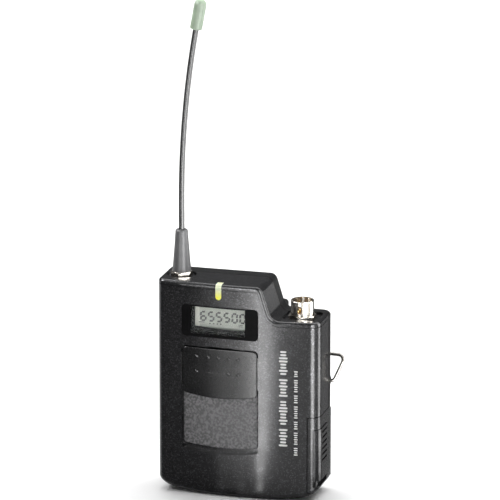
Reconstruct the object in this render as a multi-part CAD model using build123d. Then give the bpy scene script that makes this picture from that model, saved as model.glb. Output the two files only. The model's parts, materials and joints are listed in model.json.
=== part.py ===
from build123d import *
import math
import os

# Body-worn wireless transmitter with a flexible whip antenna, a threaded instrument
# socket, a display, a sliding control cover, a side battery door and a wire belt clip.
# Millimetres. X runs to the right seen from the front, Y runs to the back, Z is up.
# The origin is the centre of the base's flat strip, half way through the case's depth.

# ---- case -------------------------------------------------------------------------
case_width = 66.0
case_depth = 24.0
case_height = 87.0
side_x = case_width / 2
front_face_y = -case_depth / 2
back_face_y = case_depth / 2
shoulder_height = case_height - 13.4
slope_top_x = side_x - 23.0
slope_angle = 17.4
slope_top_radius = 3.0
slope_foot_radius = 4.5
front_bulge_radius = 200.0
plan_radius_front_left = 3.6
plan_radius_front_right = 4.8
plan_radius_back = 4.0
top_edge_radius = 1.3
base_edge_radius = 2.2
base_flat_half = side_x - 23.0
base_arc_radius = 90.0
base_corner_radius_left = 10.0
base_corner_radius_right = 12.0
base_corner_start_left = side_x - 6.0
base_corner_start_right = side_x - 7.0
wall = 1.5
cap_thickness = 1.9
split_y = back_face_y - 7.0
lip_overlap = 1.5
lip_thickness = 0.8
slip = 0.05
seam_gap = 0.25
seam_depth = 0.5

# ---- display ----------------------------------------------------------------------
display_x = (-22.5, 9.0)
display_z = (65.2, 78.0)
display_radius = 1.6
display_flange = 1.2
bezel_sink = 0.12
bezel_depth = 2.6
pane_x = (-18.8, 3.6)
pane_z = (66.3, 77.4)
pane_depth = (0.3, 1.1)
funnel_x = (-17.5, 3.1)
funnel_z = (69.0, 76.9)
lcd_x = (-19.5, 5.2)
lcd_z = (66.5, 78.3)
lcd_front_y = front_face_y + 3.6
lcd_thickness = 1.6
lcd_play = 0.1
lcd_strip_height = 1.5

# ---- control recess, pad and sliding cover ----------------------------------------
recess_x = (-22.7, 9.0)
recess_top_z = 61.2
recess_bottom_z = 17.5
recess_corner_radius = 1.8
recess_arc_radius = 62.0
recess_floor = 0.9
cover_side_gap = 0.6
cover_top_gap = 0.5
cover_thickness = 1.4
cover_bottom_z = 40.4
cover_travel = 20.0
cover_corner_radius = 1.6
cover_flange_width = 0.8
cover_flange_thickness = 0.6
cover_play = 0.25
groove_play = 0.2
nail_notch_x = (-11.5, -1.0)
nail_notch_depth = 0.5
bump_radius = 0.75
bump_row_z = (57.1, 50.9)
bump_row_x = ((-16.2, -11.3, -7.2, -3.0, 0.8), (-16.2, -3.0, 0.8))
pad_thickness = 0.9
pad_side_gap = 0.5
pad_bottom_gap = 2.1
pad_top_z = 43.0
well_x = (-21.3, 7.8)
well_z = (43.8, 60.2)
well_wall = 1.5
panel_front_y = front_face_y + 4.85
panel_thickness = 1.0

# ---- controls ---------------------------------------------------------------------
control_travel = 0.3
button_radius = 2.0
button_flange = 0.6
button_places = {"mode_button": (-16.0, 48.2), "down_button": (-6.0, 48.2), "up_button": (-6.0, 55.8)}
button_top_y = front_face_y + 3.0
control_gap = 0.15
switch_place = (-15.6, 55.8)
switch_knob = (3.2, 2.6)
switch_travel = 2.5
switch_body = (9.0, 4.4)
switch_body_y = front_face_y + 6.4
switch_knob_y = (front_face_y + 3.3, front_face_y + 6.3)
trimmer_place = (3.0, 52.0)
trimmer_radius = 1.7
trimmer_shaft = 0.8
trimmer_body_half = 2.6
trimmer_body_y = front_face_y + 6.6
trimmer_rotor_y = (front_face_y + 4.4, front_face_y + 6.5)
trimmer_shaft_y = front_face_y + 7.3

# ---- boards -----------------------------------------------------------------------
control_board_y = (front_face_y + 7.8, front_face_y + 9.0)
rf_board_y = (back_face_y - 7.0, back_face_y - 5.8)
board_x = (8.7 - side_x, side_x - 17.5)
board_z = (37.6, shoulder_height - 3.6)
board_upper = (slope_top_x - 2.0, case_height - 8.4)
board_tab = (slope_top_x - 8.4, case_height - wall - 1.5)
post_radius = 1.8
board_screw_radius = 0.8
post_left_x = 13.0 - side_x
post_right_x = side_x - 20.0
control_post_places = (
    (post_left_x, 39.9),
    (post_right_x, 44.5),
    (post_right_x, shoulder_height - 5.6),
    (post_left_x - 0.5, case_height - 5.4),
)
rf_post_places = (
    (post_left_x, 42.0),
    (post_right_x, 42.0),
    (post_right_x - 1.0, shoulder_height - 6.6),
    (post_left_x - 0.5, shoulder_height - 3.6),
)
control_screw_tip_y = front_face_y + 4.2
rf_screw_tip_y = back_face_y - 1.6

# ---- case screws ------------------------------------------------------------------
boss_radius = 2.2
boss_joint_y = 1.0
screw_radius = 1.0
screw_head_radius = 1.9
screw_head_depth = 1.1
screw_clearance = 0.15
screw_tip_y = front_face_y + 6.5
screw_head_sink = 0.4
screw_side_x = side_x - 4.8
case_screw_places = (
    (-screw_side_x, 9.5),
    (-screw_side_x, 62.0),
    (screw_side_x, 40.9),
    (slope_top_x - 5.0, case_height - 5.5),
)

# ---- indicator --------------------------------------------------------------------
light_x = -7.2
light_width = 2.4
light_bottom_z = case_height - 6.1
light_back_y = front_face_y + 4.0
light_thickness = 1.4
light_prong_z = case_height - 4.4
light_prong_radius = 0.9

# ---- antenna ----------------------------------------------------------------------
antenna_x = 7.5 - side_x
antenna_seat_radius = 5.9
antenna_seat_depth = 0.9
mount_pad = 1.5
stud_radius = 2.0
stud_bottom_z = case_height - 9.0
stud_top_z = case_height + 6.0
antenna_nut_flats = 7.8
antenna_nut_height = 2.3
sleeve_base_radius = 3.65
sleeve_top_radius = 2.4
sleeve_length = 17.0
whip_radius = 1.15
whip_start_z = case_height + 10.0
whip_bend_z = case_height + 30.0
whip_bend_radius = 400.0
whip_end_z = case_height + 103.5
tip_radius = 2.4
tip_length = 12.0
tip_grip = 4.0

# ---- instrument socket ------------------------------------------------------------
jack_x = side_x - 9.2
jack_recess_x = (jack_x - 7.0, jack_x + 7.2)
jack_recess_y = (-6.3, 6.8)
jack_recess_radius = 2.4
jack_recess_depth = 1.0
jack_radius = 4.6
jack_shank_radius = 4.4
jack_collar_gap = 0.2
jack_mouth_radius = 4.0
jack_top_z = shoulder_height + 6.6
jack_bottom_z = shoulder_height - 13.6
jack_flange_radius = 6.2
jack_flange_thickness = 1.2
jack_nut_flats = 10.2
jack_nut_height = 1.8
jack_slot_width = 1.8
jack_slot_z = (shoulder_height + 1.6, shoulder_height + 5.0)
insulator_top_z = shoulder_height + 0.9
jack_pin_radius = 0.5
jack_pin_circle = 2.0
jack_pin_count = 4
jack_pin_z = (shoulder_height - 16.6, shoulder_height + 2.2)

# ---- cells and their bay ----------------------------------------------------------
cell_radius = 7.25
cell_length = 49.2
cell_button = (2.75, 1.3)
cell_left_x = side_x - 55.2
cell_y = 0.3
cell_z = (12.0, 27.2)
cell_play = 0.2
tray_x = (side_x - 58.6, side_x - 5.2)
tray_y = (-4.0, back_face_y - wall - 0.2)
tray_z = (wall + 2.4, 35.4)
tray_end = 1.3
contact_thickness = 0.4
contact_gap = 0.1

# ---- battery door, hinge and latch ------------------------------------------------
door_x = side_x - 4.7
door_z = (3.4, 35.0)
door_wall = 2.2
door_gap = 0.32
hinge_x = side_x - 2.2
hinge_y = back_face_y - 2.2
knuckle_radius = 2.1
knuckle_spans = ((5.8, 17.5), (22.1, 33.6))
knuckle_gap = 0.2
hinge_pin_radius = 0.6
latch_x = side_x - 2.3
latch_y = (front_face_y + 2.5, 3.0)
latch_z = (8.6, 29.6)
latch_travel = 2.4
latch_proud = 0.35
latch_thickness = 1.0
latch_gap = 0.15
latch_grip_count = 6
latch_grip_pitch = 2.3
latch_grip_bottom_z = 16.4
latch_grip_y = (-5.0, 2.2)
stem_y = (-2.2, 0.2)
stem_z = (17.0, 21.0)
hook_thickness = 0.8
hook_tooth_x = side_x - 5.75
side_sag = side_x ** 2 / (2 * front_bulge_radius)
hook_y = (front_face_y + side_sag + 2.8775, front_face_y + side_sag + 3.8775)
link_plate_x = (side_x - 3.9, side_x - 3.5)

# ---- belt clip --------------------------------------------------------------------
clip_wire_radius = 0.7
clip_pivot_y = back_face_y - 4.0
clip_pivot_z = 45.4
clip_top_z = 54.2
clip_back_y = back_face_y + 5.6
clip_side_x = side_x + 4.7
clip_side_y = back_face_y + 2.5
clip_tongue_half = 9.0
clip_tongue_bottom_z = 9.5
bush_radius = 1.8
bush_length = 5.2

label_x = (-15.0, 15.0)
label_z = (58.5, 76.5)
label_thickness = 0.3

far = case_width
front_far_y = front_face_y - 8.0
above = case_height + 40.0
parts = {}


# ---- small helpers ----------------------------------------------------------------
def span_box(x, y, z):
    """Box between the low and high values of each axis."""
    low = (min(x), min(y), min(z))
    size = (abs(x[1] - x[0]), abs(y[1] - y[0]), abs(z[1] - z[0]))
    centre = [low[i] + size[i] / 2 for i in range(3)]
    return Pos(*centre) * Box(*size)


def rod_x(x, y, z, radius):
    """Round bar along X between the two values of x."""
    return Pos((x[0] + x[1]) / 2, y, z) * Rot(0, 90, 0) * Cylinder(radius, abs(x[1] - x[0]))


def rod_y(x, y, z, radius):
    """Round bar along Y between the two values of y."""
    return Pos(x, (y[0] + y[1]) / 2, z) * Rot(90, 0, 0) * Cylinder(radius, abs(y[1] - y[0]))


def rod_z(x, y, z, radius):
    """Round bar along Z between the two values of z."""
    return Pos(x, y, (z[0] + z[1]) / 2) * Cylinder(radius, abs(z[1] - z[0]))


def hex_nut(x, y, z, across_flats, hole_radius):
    """Hexagon nut with chamfered rims; one corner points at -Y."""
    height = z[1] - z[0]
    nut = extrude(RegularPolygon(across_flats / 2, 6, major_radius=False, rotation=30), amount=height)
    rim = Pos(0, 0, height / 2) * Cylinder(across_flats / 2 * 1.11, height)
    rim = chamfer(rim.edges().filter_by(GeomType.CIRCLE), min(0.45, height / 4))
    nut = (nut & rim) - Pos(0, 0, height / 2) * Cylinder(hole_radius, height + 1)
    return Pos(x, y, z[0]) * nut


def rounded_prism_y(x, z, radius, y):
    """Prism along Y with a rounded rectangular outline."""
    outline = Pos((x[0] + x[1]) / 2, (z[0] + z[1]) / 2) * RectangleRounded(x[1] - x[0], z[1] - z[0], radius)
    return Pos(0, y[1], 0) * extrude(Plane.XZ * outline, amount=y[1] - y[0])


def grown(span, amount):
    """The span made longer by amount at both ends."""
    return (span[0] - amount, span[1] + amount)


# ---- case surfaces ----------------------------------------------------------------
def slope_x(z, inset):
    """X of the slope between top and shoulder at height z, moved inwards by inset."""
    angle = math.radians(slope_angle)
    return slope_top_x + (case_height - z) * math.tan(angle) - inset / math.cos(angle)


def base_arcs(side, inset, corner_start, corner_radius):
    """The two base arcs of one side (+1 right, -1 left) and the height where they meet the wall."""
    angle = math.asin((corner_start - base_flat_half) / base_arc_radius)
    main = base_arc_radius - inset
    corner = corner_radius - inset
    reach = base_arc_radius - corner_radius
    corner_x = base_flat_half + reach * math.sin(angle)
    corner_z = base_arc_radius - reach * math.cos(angle)
    last = math.asin((side_x - inset - corner_x) / corner)
    a = math.degrees(angle)
    b = math.degrees(last)
    start = 270 if side > 0 else 270 - a
    corner_from = 270 + a if side > 0 else 270 - b
    arc = CenterArc((side * base_flat_half, base_arc_radius), main, start, a)
    bend = CenterArc((side * corner_x, corner_z), corner, corner_from, b - a)
    return arc, bend, corner_z - corner * math.cos(last)


def front_outline(inset):
    """Case outline in the XZ plane, every edge moved inwards by inset."""
    half = side_x - inset
    top = case_height - inset
    shoulder = shoulder_height - inset
    right_arc, right_bend, right_z = base_arcs(1, inset, base_corner_start_right, base_corner_radius_right)
    left_arc, left_bend, left_z = base_arcs(-1, inset, base_corner_start_left, base_corner_radius_left)
    crest = (slope_x(top, inset), top)
    foot = (slope_x(shoulder, inset), shoulder)
    upper = Polyline((-half, left_z), (-half, top), crest, foot, (half, shoulder), (half, right_z))
    flat = Line((-base_flat_half, inset), (base_flat_half, inset))
    face = make_face([*upper.edges(), flat, right_arc, right_bend, left_arc, left_bend])
    crest_corner = face.vertices().sort_by_distance((*crest, 0))[0]
    face = fillet(crest_corner, slope_top_radius - inset)
    foot_corner = face.vertices().sort_by_distance((*foot, 0))[0]
    return fillet(foot_corner, slope_foot_radius + inset)


def front_y(x, inset):
    """Y of the bulging front face at x, moved inwards by inset."""
    centre = front_bulge_radius - back_face_y
    return centre - math.sqrt((front_bulge_radius - inset) ** 2 - x * x)


def plan_outline(inset):
    """Case outline seen from above: bulging front, flat sides and back, rounded corners."""
    half = side_x - inset
    back = back_face_y - inset
    corner_y = front_y(half, inset)
    front = ThreePointArc((-half, corner_y), (0, inset - back_face_y), (half, corner_y))
    rest = Polyline((half, corner_y), (half, back), (-half, back), (-half, corner_y))
    face = make_face([front, *rest.edges()])
    corners = (
        ((-half, corner_y), plan_radius_front_left),
        ((half, corner_y), plan_radius_front_right),
        ((half, back), plan_radius_back),
        ((-half, back), plan_radius_back),
    )
    for place, radius in corners:
        corner = face.vertices().sort_by_distance((*place, 0))[0]
        face = fillet(corner, radius - inset)
    return face


def rim_edges(block, upper):
    """The closed run of edges round the top surfaces, or round the base."""
    flank_x = block.bounding_box().max.X - 0.1
    rim = ShapeList()
    for edge in block.edges():
        box = edge.bounding_box()
        upright = box.size.X < 1e-3 and box.size.Y < 1e-3
        across = box.size.X < 1e-3 and box.size.Z < 1e-3 and abs(edge.center().X) < flank_x
        high = edge.center().Z > case_height / 2
        if not upright and not across and high == upper:
            rim.append(edge)
    return rim


def case_block(inset):
    """Solid bounded by the case's outer surface moved inwards by inset."""
    profile = extrude(Plane.XZ * front_outline(inset), amount=case_depth, both=True)
    column = extrude(plan_outline(inset), amount=case_height)
    block = profile & column
    if inset < top_edge_radius - 0.3:
        block = fillet(rim_edges(block, True), top_edge_radius - inset)
        block = fillet(rim_edges(block, False), base_edge_radius - inset)
    return block


def front_layer(low, high):
    """Everything between two depths below the bulging front face."""
    centre = front_bulge_radius - back_face_y
    tall = (-5.0, case_height + 5.0)
    outer = rod_z(0, centre, tall, front_bulge_radius - low)
    inner = rod_z(0, centre, tall, front_bulge_radius - high)
    window = span_box((-case_width, case_width), (-case_depth, 0), tall)
    return (outer - inner) & window


def below_cap():
    """Everything under the seam of the top cap."""
    top = case_height - cap_thickness
    shoulder = shoulder_height - cap_thickness
    crest = (slope_x(top, cap_thickness), top)
    foot = (slope_x(shoulder, cap_thickness), shoulder)
    wide = case_width
    outline = Polyline((-wide, -10), (-wide, top), crest, foot, (wide, shoulder), (wide, -10), close=True)
    face = make_face(outline.edges())
    face = fillet(face.vertices().sort_by_distance((*crest, 0))[0], slope_top_radius - cap_thickness)
    face = fillet(face.vertices().sort_by_distance((*foot, 0))[0], slope_foot_radius + cap_thickness)
    return extrude(Plane.XZ * face, amount=case_depth, both=True)


outer_block = case_block(0)
inner_block = case_block(wall)
shell_block = outer_block - inner_block
seam_skin = outer_block - case_block(seam_depth)
front_half = span_box((-far, far), (-far, split_y), (-10, above))
back_half = span_box((-far, far), (split_y, far), (-10, above))


def cap_seam():
    """Shallow groove round the case just under the top cap."""
    return seam_skin & (below_cap() - Pos(0, 0, -seam_gap) * below_cap())


def split_seam():
    """Shallow groove round the case just in front of the back shell."""
    return seam_skin & span_box((-far, far), (split_y - seam_gap, split_y), (-10, above))


# ---- cut-outs shared by several pieces --------------------------------------------
def recess_outline(inset, bottom_gap, top_z):
    """Outline of the control recess: straight sides and top, gently bowed foot."""
    left = recess_x[0] + inset
    right = recess_x[1] - inset
    middle = (left + right) / 2
    foot = recess_bottom_z + bottom_gap
    rise = recess_arc_radius - math.sqrt(recess_arc_radius ** 2 - ((right - left) / 2) ** 2)
    arc = ThreePointArc((left, foot + rise * 0.6), (middle, foot), (right, foot + rise * 0.6))
    rest = Polyline((right, foot + rise * 0.6), (right, top_z), (left, top_z), (left, foot + rise * 0.6))
    return make_face([arc, *rest.edges()])


def along_y(face, y):
    """The outline pushed through the case between two Y values."""
    return Pos(0, y[1], 0) * extrude(Plane.XZ * face, amount=y[1] - y[0])


def recess_prism():
    face = recess_outline(0, 0, recess_top_z)
    face = fillet(face.vertices(), recess_corner_radius)
    return along_y(face, (front_far_y, 0))


pad_depth = cover_thickness + cover_play
recess_depth = pad_depth + pad_thickness
cover_x = (recess_x[0] + cover_side_gap, recess_x[1] - cover_side_gap)
cover_top_z = recess_top_z - cover_top_gap
groove_x = grown(cover_x, cover_flange_width + cover_side_gap / 2)
flange_depth = (cover_thickness - cover_flange_thickness, cover_thickness)


def display_prism(grow):
    radius = display_radius + grow
    return rounded_prism_y(grown(display_x, grow), grown(display_z, grow), radius, (front_far_y, 0))


def light_slot():
    """Slot over the front top edge, with a round lower end."""
    bar_x = (light_x - light_width / 2, light_x + light_width / 2)
    end_z = light_bottom_z + light_width / 2
    slot_y = (front_far_y, light_back_y)
    bar = span_box(bar_x, slot_y, (end_z, case_height + 5))
    return bar + rod_y(light_x, slot_y, end_z, light_width / 2)


def jack_recess():
    """Sunk seat of the socket's nut in the shoulder."""
    size = (jack_recess_x[1] - jack_recess_x[0], jack_recess_y[1] - jack_recess_y[0])
    centre = (sum(jack_recess_x) / 2, sum(jack_recess_y) / 2, shoulder_height - jack_recess_depth)
    return Pos(*centre) * extrude(RectangleRounded(*size, jack_recess_radius), amount=5)


def door_opening(gap):
    """Space of the door in the right side of the case, with a gap all round."""
    return span_box((door_x + gap, far), (-far, far), (door_z[0] + gap, door_z[1] - gap))


# ---- case pieces ------------------------------------------------------------------
def make_front_shell():
    shell = shell_block & front_half & below_cap()
    backing = front_layer(0, recess_depth + recess_floor)
    backing &= span_box(grown(recess_x, 2.4), (-far, 0), (recess_bottom_z - 2, recess_top_z + 1.6))
    well = span_box(grown(well_x, well_wall), (-far, panel_front_y), grown(well_z, well_wall))
    inner_solids = backing + well
    for x, z in case_screw_places:
        inner_solids += rod_y(x, (front_far_y, boss_joint_y), z, boss_radius)
    for x, z in control_post_places:
        inner_solids += rod_y(x, (front_far_y, control_board_y[0]), z, post_radius)
    shell += inner_solids & outer_block & below_cap()
    for x, z in case_screw_places:
        shell -= rod_y(x, (screw_tip_y - 0.5, boss_joint_y + 1), z, screw_radius + slip / 2)
    for x, z in control_post_places:
        shell -= rod_y(x, (control_screw_tip_y - 0.2, 0), z, board_screw_radius)
    shell -= recess_prism() & front_layer(-3, recess_depth)
    grooves = span_box(groove_x, (-far, 0), (recess_bottom_z + 2.6, recess_top_z))
    groove_depth = (flange_depth[0] - groove_play, flange_depth[1] + cover_play)
    shell -= grooves & front_layer(*groove_depth)
    shell -= rounded_prism_y(well_x, well_z, 1.0, (front_far_y, panel_front_y + 1))
    notch_z = (recess_top_z - 2, recess_top_z + nail_notch_depth)
    shell -= rounded_prism_y(nail_notch_x, notch_z, 0.4, (front_far_y, 0)) & front_layer(-3, 0.9)
    shell -= display_prism(0)
    shell -= light_slot()
    shell -= cap_seam()
    shell -= split_seam()
    shell -= door_opening(0)
    return shell


def make_top_cap():
    cap = (shell_block & front_half) - below_cap()
    antenna_pad_z = (case_height - wall - mount_pad, case_height - wall)
    antenna_pad = span_box((antenna_x - 5, antenna_x + 5), (-5, split_y - slip), antenna_pad_z)
    jack_pad_z = (shoulder_height - wall - mount_pad, shoulder_height - wall)
    jack_pad = span_box((jack_x - 7, jack_x + 7), (-7.5, split_y - slip), jack_pad_z)
    cap += (antenna_pad + jack_pad) & inner_block
    cap -= rod_z(antenna_x, 0, (case_height - antenna_seat_depth, case_height + 5), antenna_seat_radius)
    cap -= rod_z(antenna_x, 0, (case_height - 10, case_height + 5), stud_radius + slip)
    cap -= jack_recess()
    cap -= rod_z(jack_x, 0, (shoulder_height - 10, shoulder_height + 5), jack_shank_radius + slip)
    cap -= light_slot()
    cap -= split_seam()
    return cap


def make_back_shell():
    shell = shell_block & back_half
    lip = case_block(wall + slip) - case_block(wall + slip + lip_thickness)
    lip &= span_box((-far, far), (split_y - lip_overlap, split_y), (-10, above))
    lip -= rod_z(jack_x, 0, (50, 90), jack_flange_radius + 1)
    lip -= rod_z(antenna_x, 0, (70, 90), antenna_seat_radius)
    lip -= span_box((jack_x - 7.2, jack_x + 7.2), (0, 10), (shoulder_height - 5, shoulder_height))
    lip -= span_box((antenna_x - 5.2, antenna_x + 5.2), (0, 10), (case_height - 5, case_height))
    for x, z in case_screw_places:
        lip -= rod_y(x, (-10, split_y), z, boss_radius + slip)
    rail = case_block(wall) - case_block(wall + slip + lip_thickness)
    rail &= span_box((-far, far), (split_y, split_y + 1.0), (-10, above))
    tray_zone = span_box(grown(tray_x, 0.2), grown(tray_y, 0.2), grown(tray_z, 0.2))
    shell += (lip + rail) - tray_zone
    for x, z in case_screw_places:
        shell += rod_y(x, (boss_joint_y, far), z, boss_radius) & outer_block
        shell -= rod_y(x, (boss_joint_y - 1, far), z, screw_radius + screw_clearance)
        head = (back_face_y - screw_head_depth - screw_head_sink, far)
        shell -= rod_y(x, head, z, screw_head_radius + screw_clearance)
    for x, z in rf_post_places:
        shell += rod_y(x, (rf_board_y[1], back_face_y - wall / 2), z, post_radius)
        shell -= rod_y(x, (rf_board_y[1] - 1, back_face_y - wall / 2 - 0.4), z, board_screw_radius)
    shell -= rod_z(antenna_x, 0, (case_height - antenna_seat_depth, case_height + 5), antenna_seat_radius)
    shell -= jack_recess()
    for side in (-1, 1):
        hole_x = (side * (side_x - bush_length), side * far)
        shell -= rod_x(sorted(hole_x), clip_pivot_y, clip_pivot_z, bush_radius)
    label_y = (back_face_y - label_thickness, far)
    shell -= rounded_prism_y(label_x, label_z, 1.5, label_y)
    shell -= door_opening(0)
    lug_z = (knuckle_spans[0][1] + knuckle_gap, knuckle_spans[1][0] - knuckle_gap)
    web = span_box((door_x - 1.5, hinge_x), (back_face_y - wall, back_face_y - 0.1), lug_z)
    shell += web + rod_z(hinge_x, hinge_y, lug_z, knuckle_radius)
    shell -= rod_z(hinge_x, hinge_y, grown(lug_z, 1), hinge_pin_radius + 0.01)
    return shell


def make_case_screws():
    screws = Part()
    for x, z in case_screw_places:
        head_y = (back_face_y - screw_head_depth - screw_head_sink, back_face_y - screw_head_sink)
        screw = rod_y(x, head_y, z, screw_head_radius) + rod_y(x, (screw_tip_y, head_y[0]), z, screw_radius)
        for turn in (0, 90):
            slot = Box(2.4, 1.4, 0.5)
            screw -= Pos(x, head_y[1], z) * Rot(0, turn, 0) * slot
        screws += screw
    return screws


def make_clip_bushes():
    bushes = Part()
    for side in (-1, 1):
        span = sorted((side * (side_x - bush_length), side * side_x))
        bush = rod_x(span, clip_pivot_y, clip_pivot_z, bush_radius)
        hole = sorted((side * (side_x - bush_length + 0.6), side * far))
        bushes += bush - rod_x(hole, clip_pivot_y, clip_pivot_z, clip_wire_radius + slip)
    return bushes


def make_rear_label():
    return rounded_prism_y(label_x, label_z, 1.5, (back_face_y - label_thickness, back_face_y))


# ---- display ----------------------------------------------------------------------
def funnel():
    """Tapered well between the pane and the liquid crystal glass."""
    front = Pos(sum(pane_x) / 2, sum(pane_z) / 2) * Rectangle(pane_x[1] - pane_x[0], pane_z[1] - pane_z[0])
    size = (funnel_x[1] - funnel_x[0], funnel_z[1] - funnel_z[0])
    back = Pos(sum(funnel_x) / 2, sum(funnel_z) / 2) * Rectangle(*size)
    near = Pos(0, pane_depth[0] - back_face_y, 0) * (Plane.XZ * front)
    far = Pos(0, lcd_front_y, 0) * (Plane.XZ * back)
    return loft([near, far])


def make_display_bezel():
    plug = display_prism(-slip) & front_layer(bezel_sink, bezel_depth)
    flange = display_prism(display_flange) & front_layer(wall + 0.02, bezel_depth)
    bezel = (plug + flange) & outer_block
    bezel -= span_box(pane_x, (front_far_y, 0), pane_z) & front_layer(-3, pane_depth[1])
    return bezel - funnel()


def make_display_window():
    return span_box(pane_x, (front_far_y, 0), pane_z) & front_layer(pane_depth[0], pane_depth[1])


def make_lcd_glass():
    return span_box(lcd_x, (lcd_front_y, lcd_front_y + lcd_thickness), lcd_z)


def make_lcd_holder():
    outer = span_box(grown(lcd_x, 1.4), (lcd_front_y + 0.6, control_board_y[0]), grown(lcd_z, 0.7))
    return outer - span_box(grown(lcd_x, lcd_play), (front_far_y, 0), grown(lcd_z, lcd_play / 2))


def make_lcd_contact_strips():
    back = lcd_front_y + lcd_thickness
    strip_x = grown(lcd_x, -0.6)
    strips = Part()
    for low in (lcd_z[0] + 0.2, lcd_z[1] - 0.2 - lcd_strip_height):
        strips += span_box(strip_x, (back, control_board_y[0]), (low, low + lcd_strip_height))
    return strips


def make_lcd_reflector():
    back = lcd_front_y + lcd_thickness
    inside = (lcd_z[0] + lcd_strip_height + 0.5, lcd_z[1] - lcd_strip_height - 0.5)
    return span_box(grown(lcd_x, -1.0), (back, back + 0.8), inside)


# ---- indicator --------------------------------------------------------------------
def make_light_pipe():
    skin = outer_block - case_block(light_thickness)
    pipe = light_slot() & skin
    prong_y = (front_y(light_x, light_thickness) - 0.2, control_board_y[0] - 1.0)
    return pipe + rod_y(light_x, prong_y, light_prong_z, light_prong_radius)


def make_indicator_led():
    body_x = (light_x - 0.8, light_x + 0.8)
    body_z = (light_prong_z - 0.6, light_prong_z + 0.6)
    return span_box(body_x, (control_board_y[0] - 0.9, control_board_y[0]), body_z)


# ---- control cover, pad and panel -------------------------------------------------
def make_control_cover():
    """Curved plate with bowed foot, side flanges that run in the grooves, and grip bumps."""
    rise = recess_arc_radius - math.sqrt(recess_arc_radius ** 2 - ((cover_x[1] - cover_x[0]) / 2) ** 2)
    middle = sum(cover_x) / 2
    foot = (cover_bottom_z + rise * 0.8, cover_bottom_z)
    arc = ThreePointArc((cover_x[0], foot[0]), (middle, foot[1]), (cover_x[1], foot[0]))
    left, right = cover_x
    rest = Polyline((right, foot[0]), (right, cover_top_z), (left, cover_top_z), (left, foot[0]))
    face = fillet(make_face([arc, *rest.edges()]).vertices(), cover_corner_radius)
    plate = along_y(face, (front_far_y, 0)) & front_layer(0, cover_thickness)
    front_rim = plate.edges().filter_by(lambda e: e.center().Y < front_y(e.center().X, 0.05))
    plate = fillet(front_rim.filter_by(lambda e: e.length > 0.5), 0.4)
    wing_x = (cover_x[0] - cover_flange_width, cover_x[1] + cover_flange_width)
    wing_z = (cover_bottom_z + rise + 2.5, cover_top_z - 2.5)
    wings = span_box(wing_x, (front_far_y, 0), wing_z) & front_layer(*flange_depth)
    cover = plate + wings
    for z, row in zip(bump_row_z, bump_row_x):
        for x in row:
            cover += Pos(x, front_y(x, 0.2), z) * Sphere(bump_radius)
    ridge_x = (-11.5, -4.5)
    ridge_y = (front_y(-8, 0) - 0.15, front_y(-8, 0.6))
    ridge_z = (bump_row_z[1] - 0.2, bump_row_z[1] + 0.2)
    return cover + span_box(ridge_x, ridge_y, ridge_z)


def make_textured_pad():
    face = recess_outline(pad_side_gap, pad_bottom_gap, pad_top_z)
    face = fillet(face.vertices(), recess_corner_radius - pad_side_gap)
    pad = along_y(face, (front_far_y, 0)) & front_layer(pad_depth, recess_depth)
    front_rim = pad.edges().filter_by(lambda e: e.center().Y < front_y(e.center().X, pad_depth + 0.05))
    return fillet(front_rim.filter_by(lambda e: e.length > 0.5), 0.3)


def make_control_panel():
    panel_y = (panel_front_y, panel_front_y + panel_thickness)
    panel = span_box(grown(well_x, well_wall), panel_y, grown(well_z, well_wall))
    for x, z in button_places.values():
        panel -= rod_y(x, grown(panel_y, 1), z, button_radius + control_gap)
    reach = switch_knob[0] / 2 + control_gap
    slot_x = (switch_place[0] - reach, switch_place[0] + reach + switch_travel)
    half = switch_knob[1] / 2 + control_gap
    panel -= span_box(slot_x, grown(panel_y, 1), (switch_place[1] - half, switch_place[1] + half))
    panel -= rod_y(trimmer_place[0], grown(panel_y, 1), trimmer_place[1], trimmer_radius + control_gap)
    return panel


def make_button(place):
    x, z = place
    panel_back = panel_front_y + panel_thickness
    stem = rod_y(x, (button_top_y, panel_back + 0.7), z, button_radius)
    rim = stem.edges().filter_by(GeomType.CIRCLE).sort_by(Axis.Y)[0]
    stem = fillet(rim, 0.5)
    flange_y = (panel_back + 0.15, panel_back + 0.7)
    return stem + rod_y(x, flange_y, z, button_radius + button_flange)


def make_button_switches():
    """Dome switches on the board, one behind each button, just clear of its full travel."""
    top = panel_front_y + panel_thickness + 0.7 + control_travel + 0.1
    switches = Part()
    for x, z in button_places.values():
        base = span_box((x - 2.2, x + 2.2), (top + 0.3, control_board_y[0]), (z - 2.2, z + 2.2))
        switches += base + rod_y(x, (top, top + 0.4), z, 1.2)
    return switches


def make_switch_body():
    x, z = switch_place
    middle = x + switch_travel / 2
    half = (switch_body[0] / 2, switch_body[1] / 2)
    body_y = (switch_body_y, control_board_y[0])
    return span_box((middle - half[0], middle + half[0]), body_y, (z - half[1], z + half[1]))


def make_switch_knob():
    x, z = switch_place
    half = (switch_knob[0] / 2, switch_knob[1] / 2)
    knob = span_box((x - half[0], x + half[0]), switch_knob_y, (z - half[1], z + half[1]))
    for offset in (-0.9, 0, 0.9):
        groove_y = (switch_knob_y[0] - 0.3, switch_knob_y[0] + 0.3)
        knob -= span_box((x + offset - 0.2, x + offset + 0.2), groove_y, (z - 2, z + 2))
    return knob


def make_trimmer_body():
    x, z = trimmer_place
    half = trimmer_body_half
    body = span_box((x - half, x + half), (trimmer_body_y, control_board_y[0]), (z - half, z + half))
    return body - rod_y(x, (trimmer_body_y - 1, trimmer_shaft_y + 0.1), z, trimmer_shaft + slip)


def make_trimmer_rotor():
    x, z = trimmer_place
    rotor = rod_y(x, trimmer_rotor_y, z, trimmer_radius)
    rotor += rod_y(x, (trimmer_rotor_y[1] - 0.1, trimmer_shaft_y), z, trimmer_shaft)
    slot_y = (trimmer_rotor_y[0] - 0.4, trimmer_rotor_y[0] + 0.6)
    return rotor - span_box((x - 0.3, x + 0.3), slot_y, (z - 2, z + 2))


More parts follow.
